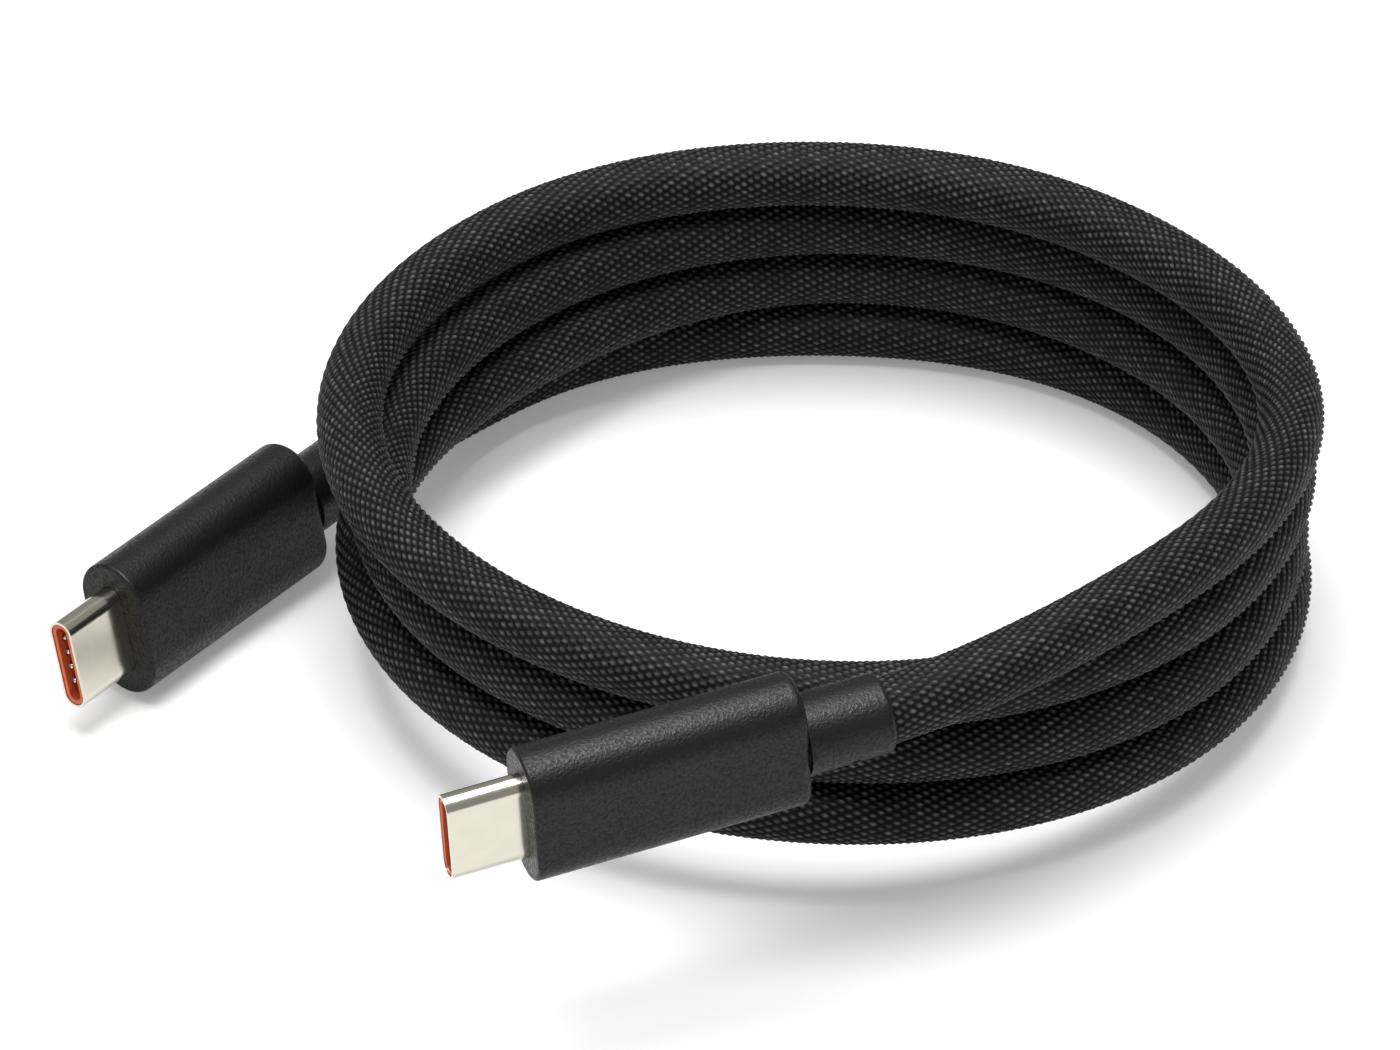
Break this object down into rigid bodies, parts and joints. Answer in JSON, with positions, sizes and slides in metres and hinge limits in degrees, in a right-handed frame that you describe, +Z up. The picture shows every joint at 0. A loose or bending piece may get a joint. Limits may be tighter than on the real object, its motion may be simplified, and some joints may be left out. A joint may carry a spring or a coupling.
{
  "type": "braided USB-C charging cable",
  "caption": "Coiled charging cable in black braid, with a moulded USB Type-C plug and a round strain relief on each end.",
  "frame": {"origin": "on the table, midway between the two plugs' outer limits along X and along Y, without the cord", "axes": "+Z up from the table the cable lies on; +Y away from the viewer who has both plugs' noses pointing left; +X to that viewer's right"},
  "size_m": [0.1086, 0.104, 0.0287],
  "materials": {
    "braid": "black braided textile yarn, near matt",
    "nickel": "satin nickel plate, slightly warm",
    "orange_plastic": "orange moulded insulator, low sheen",
    "spring_steel": "bright rolled spring steel",
    "gold": "thin gold plate",
    "black_nylon": "matt",
    "circuit_board": "green solder mask",
    "chip_resin": "matt moulded resin",
    "ceramic": "matt ceramic",
    "tinned_steel": "dull tin plate",
    "copper": "dull copper",
    "white_mould": "matt",
    "red_wire": "satin wire insulation",
    "black_wire": "satin wire insulation",
    "white_wire": "satin wire insulation",
    "core_jacket": "soft thermoplastic rubber jacket",
    "black_moulding": "fine-grained matt black moulding with rounded edges"
  },
  "bodies": {
    "cable": {"cord_lead_a": "braid", "cord_coil": "braid", "cord_lead_b": "braid", "shell_a": "nickel", "insulator_a": "orange_plastic", "mid_plate_a": "spring_steel", "wafer_upper_a": "black_nylon", "wafer_lower_a": "black_nylon", "ground_spring_upper_a": "spring_steel", "ground_spring_lower_a": "spring_steel", "paddle_card_a": "circuit_board", "marker_chip_a": "chip_resin", "passives_a": "ceramic", "shield_can_upper_a": "tinned_steel", "shield_can_lower_a": "tinned_steel", "crimp_ring_a": "copper", "inner_mould_a": "white_mould", "power_wires_a": "red_wire", "ground_wires_a": "black_wire", "signal_wires_a": "white_wire", "cable_core_a": "core_jacket", "boot_a": "black_moulding", "strain_relief_a": "black_moulding", "shell_b": "nickel", "insulator_b": "orange_plastic", "mid_plate_b": "spring_steel", "wafer_upper_b": "black_nylon", "wafer_lower_b": "black_nylon", "ground_spring_upper_b": "spring_steel", "ground_spring_lower_b": "spring_steel", "paddle_card_b": "circuit_board", "marker_chip_b": "chip_resin", "passives_b": "ceramic", "shield_can_upper_b": "tinned_steel", "shield_can_lower_b": "tinned_steel", "crimp_ring_b": "copper", "inner_mould_b": "white_mould", "power_wires_b": "red_wire", "ground_wires_b": "black_wire", "signal_wires_b": "white_wire", "cable_core_b": "core_jacket", "boot_b": "black_moulding", "strain_relief_b": "black_moulding"},
    "latch_left_a": {"latch_left_a": "spring_steel"},
    "latch_right_a": {"latch_right_a": "spring_steel"},
    "contacts_upper_a": {"contacts_upper_a": "gold"},
    "contacts_lower_a": {"contacts_lower_a": "gold"},
    "latch_left_b": {"latch_left_b": "spring_steel"},
    "latch_right_b": {"latch_right_b": "spring_steel"},
    "contacts_upper_b": {"contacts_upper_b": "gold"},
    "contacts_lower_b": {"contacts_lower_b": "gold"}
  },
  "joints": [
    {"name": "latch_left_a_flex", "type": "hinge", "parent": "cable", "child": "latch_left_a", "pos_m": [-0.02948, 0.01292, 0.01009], "axis": [-0.7799, 0.58, -0.2351], "range_deg": [0, 1.9], "stiffness_Nm_per_rad": 1.2},
    {"name": "latch_right_a_flex", "type": "hinge", "parent": "cable", "child": "latch_right_a", "pos_m": [-0.02827, 0.01179, 0.00329], "axis": [0.7799, -0.58, 0.2351], "range_deg": [0, 1.9], "stiffness_Nm_per_rad": 1.2},
    {"name": "contacts_upper_a_flex", "type": "hinge", "parent": "cable", "child": "contacts_upper_a", "pos_m": [-0.02725, 0.01526, 0.0065], "axis": [0.1725, -0.1618, -0.9716], "range_deg": [0, 1], "stiffness_Nm_per_rad": 1.5},
    {"name": "contacts_lower_a_flex", "type": "hinge", "parent": "cable", "child": "contacts_lower_a", "pos_m": [-0.02653, 0.01472, 0.00671], "axis": [-0.1725, 0.1618, 0.9716], "range_deg": [0, 1], "stiffness_Nm_per_rad": 1.5},
    {"name": "latch_left_b_flex", "type": "hinge", "parent": "cable", "child": "latch_left_b", "pos_m": [0.00706, -0.0332, 0.02472], "axis": [-0.362, 0.9322, 0.007], "range_deg": [0, 1.9], "stiffness_Nm_per_rad": 1.2},
    {"name": "latch_right_b_flex", "type": "hinge", "parent": "cable", "child": "latch_right_b", "pos_m": [0.00743, -0.03301, 0.01774], "axis": [0.362, -0.9322, -0.007], "range_deg": [0, 1.9], "stiffness_Nm_per_rad": 1.2},
    {"name": "contacts_upper_b_flex", "type": "hinge", "parent": "cable", "child": "contacts_upper_b", "pos_m": [0.01015, -0.03149, 0.02143], "axis": [0.0528, 0.028, -0.9982], "range_deg": [0, 1], "stiffness_Nm_per_rad": 1.5},
    {"name": "contacts_lower_b_flex", "type": "hinge", "parent": "cable", "child": "contacts_lower_b", "pos_m": [0.01049, -0.03234, 0.02142], "axis": [-0.0528, -0.028, 0.9982], "range_deg": [0, 1], "stiffness_Nm_per_rad": 1.5}
  ]
}
